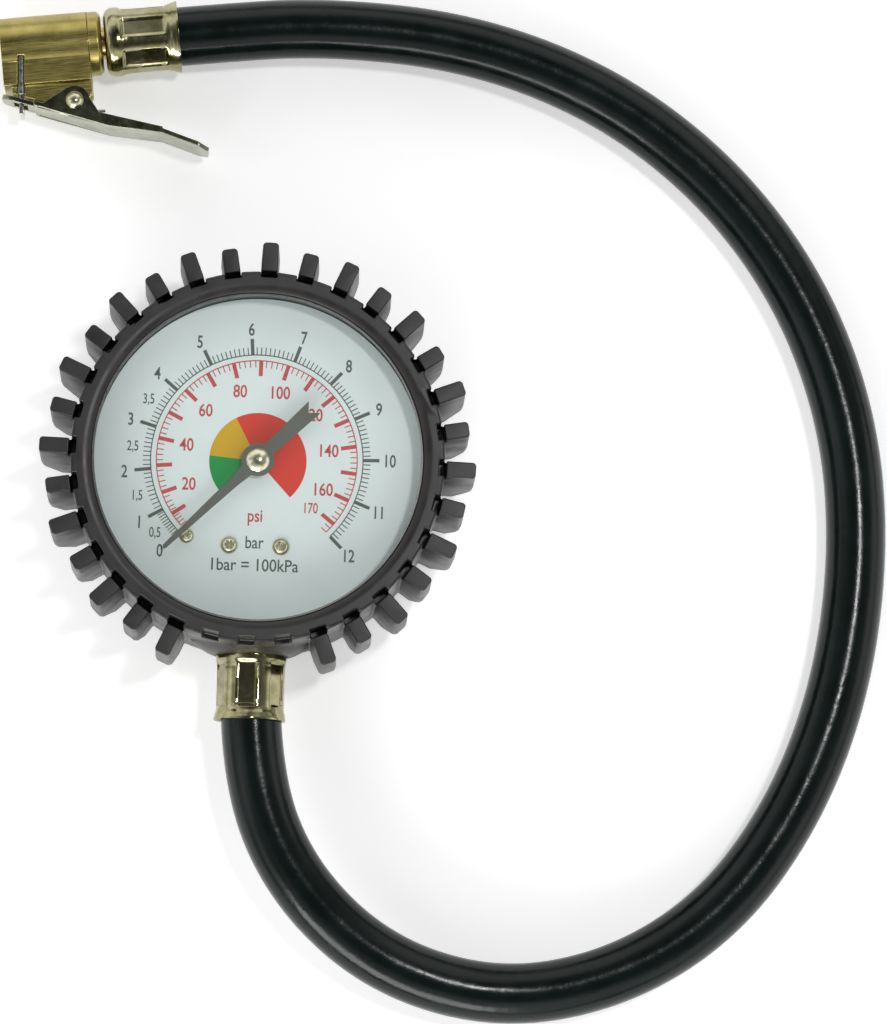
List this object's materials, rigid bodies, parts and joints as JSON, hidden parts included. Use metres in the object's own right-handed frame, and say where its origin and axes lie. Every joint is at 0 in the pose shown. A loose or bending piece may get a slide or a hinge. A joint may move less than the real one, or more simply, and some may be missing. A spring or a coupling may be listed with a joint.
{
  "type": "tire pressure gauge",
  "caption": "Dial tire pressure gauge in a finned rubber boot, with an air hose and a clip-on brass valve chuck.",
  "frame": {"origin": "centre of the rubber boot's back face, on the pointer's axis", "axes": "+Z along the pointer's axis out of the dial, -Y along the stem that the hose leaves by, +X to the dial's right"},
  "size_m": [0.1799, 0.2073, 0.032],
  "materials": {
    "boot_rubber": "satin moulded rubber",
    "case_paint": "black paint",
    "bright_plate": "bright plating",
    "gasket_white": "matt",
    "lens": "clear plastic, polished",
    "dial_white": "matt white print ground",
    "zinc_screw": "yellow-tinted zinc plate",
    "pointer_paint": "matt olive grey",
    "steel": "turned",
    "spring_bronze": "drawn",
    "brass": "machined",
    "zinc_ferrule": "yellow-tinted zinc plate, crimped",
    "hose_rubber": "glossy smooth rubber",
    "chuck_brass": "milled and turned brass",
    "seal_rubber": "matt",
    "spring_steel": "bright rolled",
    "zinc_lever": "yellow-tinted zinc plate, stamped"
  },
  "bodies": {
    "root": {"rubber_boot": "boot_rubber", "gauge_case": "case_paint", "bezel_ring": "bright_plate", "window_gasket": "gasket_white", "window": "lens", "dial_plate": "dial_white", "dial_screws": "zinc_screw", "stop_pin": "zinc_screw", "hairspring": "spring_bronze", "bourdon_tube": "spring_bronze", "socket_block": "brass", "restrictor_screw": "brass", "movement_back_plate": "brass", "movement_front_plate": "brass", "movement_pillars": "brass", "movement_screws": "zinc_screw", "case_screws": "zinc_screw", "gauge_hose_tail": "brass", "gauge_ferrule": "zinc_ferrule", "hose": "hose_rubber", "chuck_ferrule": "zinc_ferrule", "chuck_hose_tail": "brass", "chuck_body": "chuck_brass", "chuck_seal": "seal_rubber", "valve_depressor": "brass", "lever_rivet": "zinc_lever", "lever_spring": "spring_steel"},
    "pointer_body": {"pointer": "pointer_paint", "pointer_cap": "bright_plate", "pinion_arbor": "steel"},
    "sector_body": {"sector_gear": "brass", "sector_arbor": "steel", "sector_pin": "steel"},
    "tip_body": {"tube_tip": "brass", "tip_pin": "steel", "link": "brass"},
    "lever_body": {"lever": "zinc_lever"},
    "claw_body": {"claw": "spring_steel"}
  },
  "joints": [
    {"name": "tube_tip_travel", "type": "slide", "parent": "root", "child": "tip_body", "axis": [0.996, -0.0894, 0], "range_m": [0, 0.00276], "stiffness_N_per_m": 50},
    {"name": "sector_turn", "type": "hinge", "parent": "root", "child": "sector_body", "pos_m": [0.0055, -0.00894, 0.0165], "axis": [0, 0, 1], "range_deg": [0, 45.01]},
    {"name": "pointer_turn", "type": "hinge", "parent": "root", "child": "pointer_body", "pos_m": [0, 0, 0.024], "axis": [0, 0, -1], "range_deg": [0, 270.05]},
    {"name": "lever_press", "type": "hinge", "parent": "root", "child": "lever_body", "pos_m": [-0.03863, 0.07266, 0.0072], "axis": [0, 0, 1], "range_deg": [0, 18], "stiffness_Nm_per_rad": 0.02},
    {"name": "claw_travel", "type": "slide", "parent": "root", "child": "claw_body", "axis": [0.0349, -0.9994, 0], "range_m": [0, 0.00321]}
  ],
  "couplings": [
    {"joint": "sector_turn", "follows": "tube_tip_travel", "rad_per_m": 285.05},
    {"joint": "pointer_turn", "follows": "tube_tip_travel", "rad_per_m": 1710.3},
    {"joint": "claw_travel", "follows": "lever_press", "m_per_rad": 0.010186}
  ]
}
